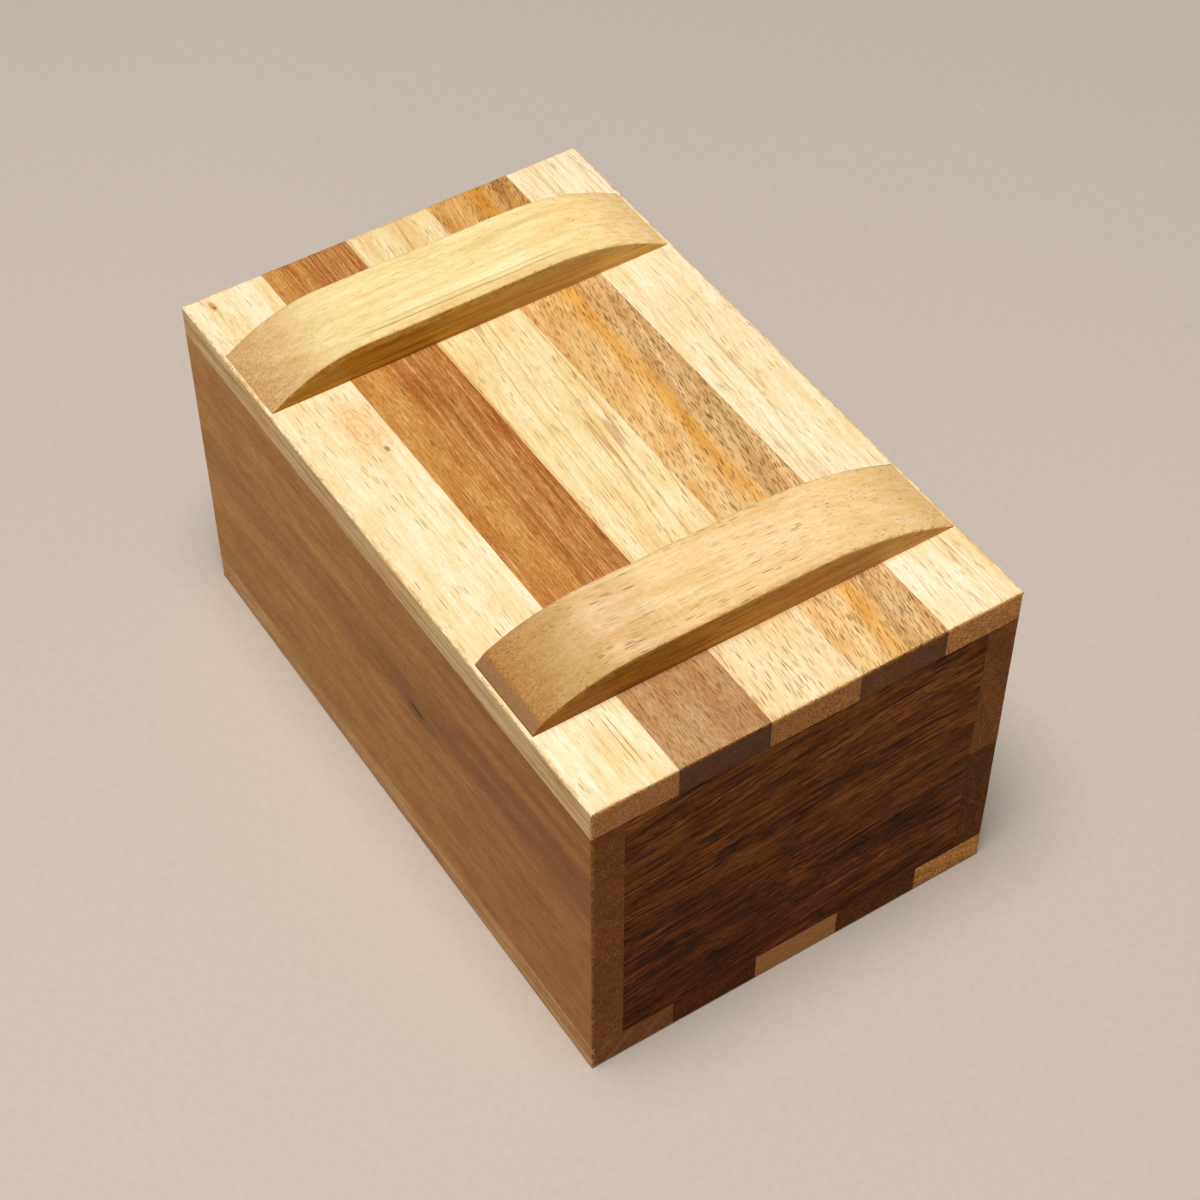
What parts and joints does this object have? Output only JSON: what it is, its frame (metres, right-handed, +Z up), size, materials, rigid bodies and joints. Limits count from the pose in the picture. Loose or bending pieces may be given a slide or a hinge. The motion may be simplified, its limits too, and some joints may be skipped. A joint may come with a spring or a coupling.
{
  "type": "wooden puzzle box",
  "caption": "Rectangular wooden puzzle box of mixed hardwood boards, with a striped lift-off lid, arched battens across the lid and a hidden pin lock at each end.",
  "frame": {"origin": "middle of the bottom face, which the box stands on", "axes": "+X along the box's length to the front end, +Y across the width to the right side, +Z up to the lid"},
  "size_m": [0.13, 0.08, 0.075],
  "materials": {
    "cream_wood": "pale fine-grained hardwood, sanded smooth, thin satin oil",
    "red_brown_wood": "red-brown hardwood with fine dark streaks, satin oil",
    "golden_wood": "golden tan hardwood with dark pores, satin oil",
    "straw_wood": "light yellow-tan hardwood, satin oil",
    "tan_wood": "plain tan hardwood, lightly oiled",
    "mid_brown_wood": "mid-brown hardwood with darker bands, satin oil",
    "dark_brown_wood": "dark walnut-like brown with strong streaks, satin oil",
    "pin_steel": "turned steel, bright, finely marked round its axis"
  },
  "bodies": {
    "box": {"bottom_strip_1": "tan_wood", "bottom_strip_2": "dark_brown_wood", "bottom_strip_3": "straw_wood", "bottom_strip_4": "dark_brown_wood", "bottom_strip_5": "tan_wood", "left_side_board": "mid_brown_wood", "right_side_lower_board": "dark_brown_wood", "right_side_upper_board": "mid_brown_wood", "front_end_board": "dark_brown_wood", "rear_end_board": "dark_brown_wood", "front_lock_block": "tan_wood", "rear_lock_block": "tan_wood"},
    "lid": {"lid_strip_1": "cream_wood", "lid_strip_2": "red_brown_wood", "lid_strip_3": "cream_wood", "lid_strip_4": "golden_wood", "lid_strip_5": "cream_wood", "rear_batten": "straw_wood", "front_batten": "golden_wood", "rear_keeper_bar": "tan_wood", "front_keeper_bar": "tan_wood"},
    "front_pin": {"front_lock_pin": "pin_steel"},
    "rear_pin": {"rear_lock_pin": "pin_steel"}
  },
  "joints": [
    {"name": "lid_lift", "type": "slide", "parent": "box", "child": "lid", "axis": [0, 0, 1], "range_m": [0, 0.08]},
    {"name": "front_pin_slide", "type": "slide", "parent": "box", "child": "front_pin", "axis": [-1, 0, 0], "range_m": [0, 0.006]},
    {"name": "rear_pin_slide", "type": "slide", "parent": "box", "child": "rear_pin", "axis": [1, 0, 0], "range_m": [0, 0.006]}
  ]
}
